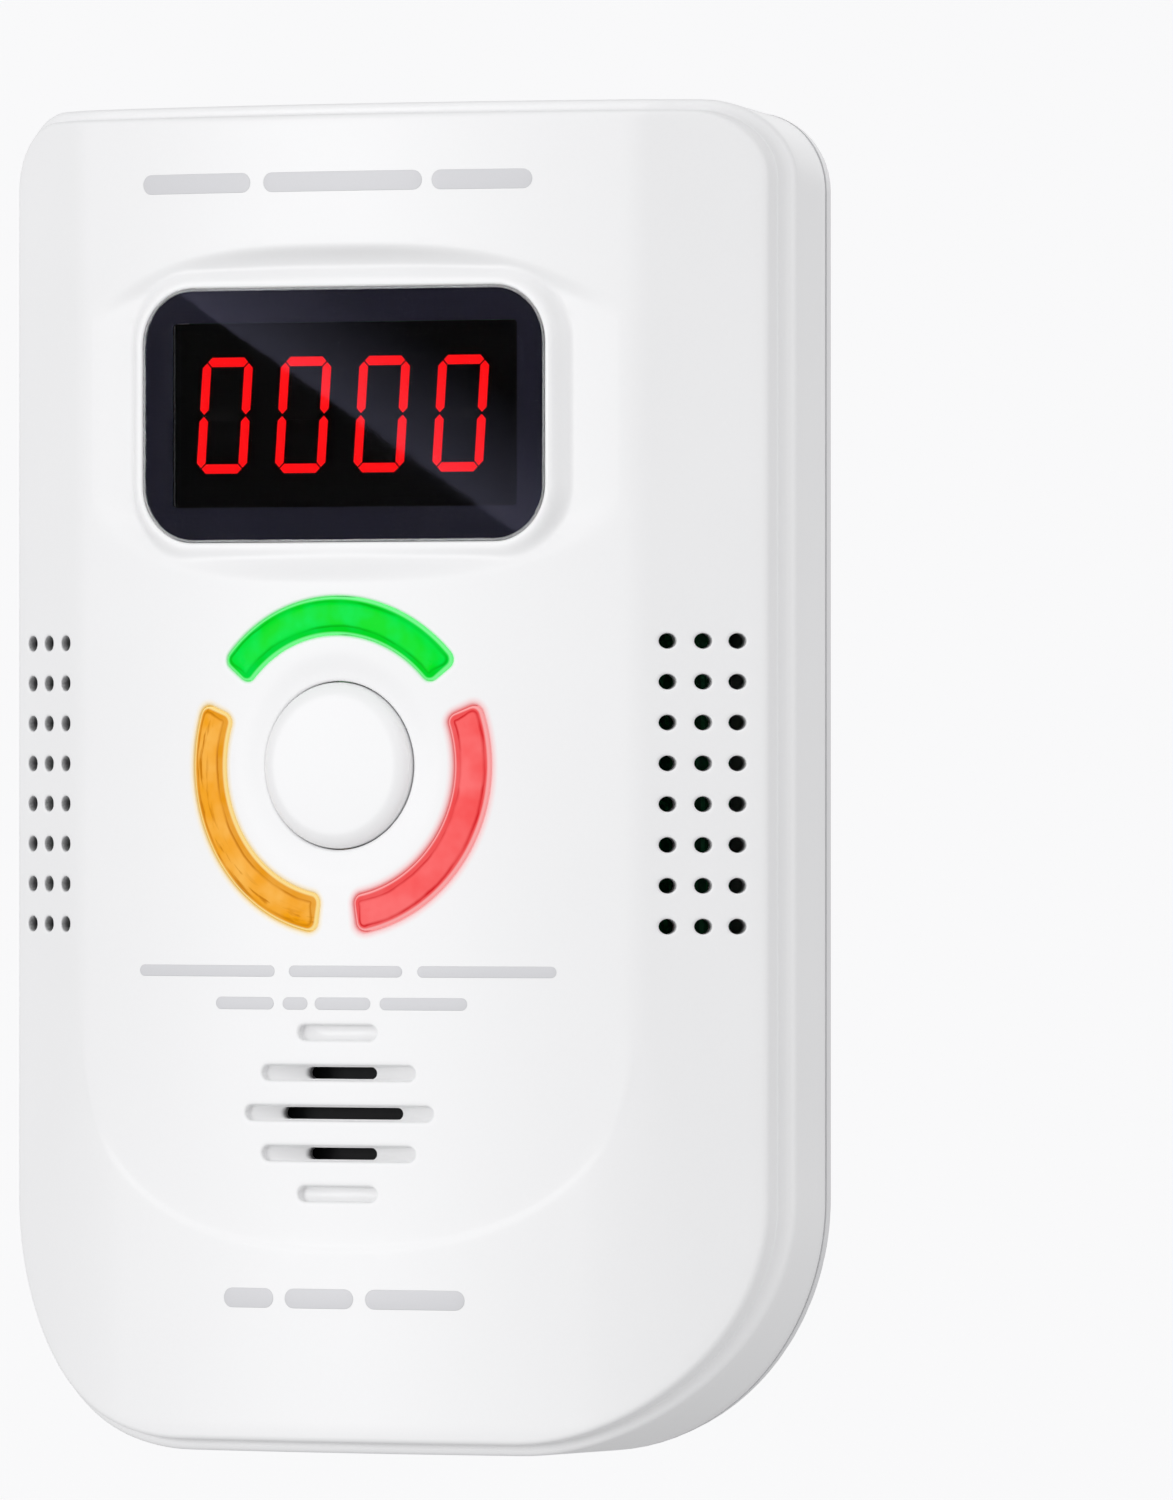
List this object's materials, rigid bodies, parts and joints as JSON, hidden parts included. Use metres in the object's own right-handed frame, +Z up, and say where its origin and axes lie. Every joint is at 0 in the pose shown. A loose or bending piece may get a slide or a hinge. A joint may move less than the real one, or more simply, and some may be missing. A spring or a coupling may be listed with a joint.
{
  "type": "carbon monoxide detector",
  "caption": "Plug-in carbon monoxide detector with a digital display, an indicator ring round its test button, sounder slots and a battery door.",
  "frame": {"origin": "point on the wall plane behind the middle of the case, half way up it and on its plane of symmetry", "axes": "+Y out of the back into the wall, +Z up, +X to the right as seen from the front"},
  "size_m": [0.0856, 0.0517, 0.1299],
  "materials": {
    "case_white": "fine satin texture",
    "button_white": "satin",
    "window_clear": "polished clear",
    "border_navy": "dark print behind the window",
    "screen_black": "matt black",
    "digit_red": "lit",
    "digit_dark": "unlit",
    "lens_green": "translucent, lit",
    "lens_amber": "translucent, lit",
    "lens_red": "translucent, lit",
    "led_white": "moulded chip",
    "baffle_white": "moulded",
    "plastic_black": "moulded",
    "board_green": "solder mask",
    "chip_black": "moulded resin",
    "tin": "tinned",
    "can_sleeve": "printed sleeve",
    "film_yellow": "moulded box",
    "varistor_blue": "dipped",
    "steel": "bright",
    "brass_gold": "plain",
    "ceramic_white": "fired ceramic",
    "brass_nickel": "nickel-plated brass",
    "ferrite": "ferrite",
    "tape_yellow": "polyester tape",
    "label_grey": "blank label",
    "battery_wrap": "plain dark jacket"
  },
  "bodies": {
    "case": {"amber_leds": "led_white", "amber_light_pipe": "lens_amber", "battery_case": "battery_wrap", "battery_contacts": "brass_nickel", "battery_terminals": "tin", "blade_left": "brass_nickel", "blade_right": "brass_nickel", "board_capacitors": "can_sleeve", "board_resistors": "chip_black", "buzzer_housing": "plastic_black", "case_screws": "steel", "co_sensor_can": "steel", "co_sensor_cap": "plastic_black", "co_sensor_pins": "brass_gold", "crystal": "tin", "display_lens": "window_clear", "driver_chips": "chip_black", "film_capacitor": "film_yellow", "filter_capacitor": "can_sleeve", "front_cover": "case_white", "fuse": "ceramic_white", "green_leds": "led_white", "green_light_pipe": "lens_green", "led_module": "screen_black", "light_baffle": "baffle_white", "link_pins": "tin", "lit_segments": "digit_red", "main_pcb": "board_green", "microcontroller": "chip_black", "pcb_screws": "steel", "piezo_ceramic": "ceramic_white", "piezo_plate": "brass_gold", "plug_block": "case_white", "power_board": "board_green", "rating_label": "label_grey", "rear_cover": "case_white", "rectifier": "chip_black", "red_leds": "led_white", "red_light_pipe": "lens_red", "tact_switch": "plastic_black", "transformer_coil": "tape_yellow", "transformer_core": "ferrite", "unlit_segments": "digit_dark", "varistor": "varistor_blue", "window_mask": "border_navy"},
    "button": {"test_button": "button_white", "switch_plunger": "plastic_black"},
    "door": {"battery_door": "case_white"}
  },
  "joints": [
    {"name": "button_press", "type": "slide", "parent": "case", "child": "button", "axis": [0, 1, 0], "range_m": [0, 0.001], "stiffness_N_per_m": 1500, "springref_m": -0.0004},
    {"name": "door_hinge", "type": "hinge", "parent": "case", "child": "door", "pos_m": [0, -0.0011, -0.0412], "axis": [-1, 0, 0], "range_deg": [0, 95]}
  ]
}
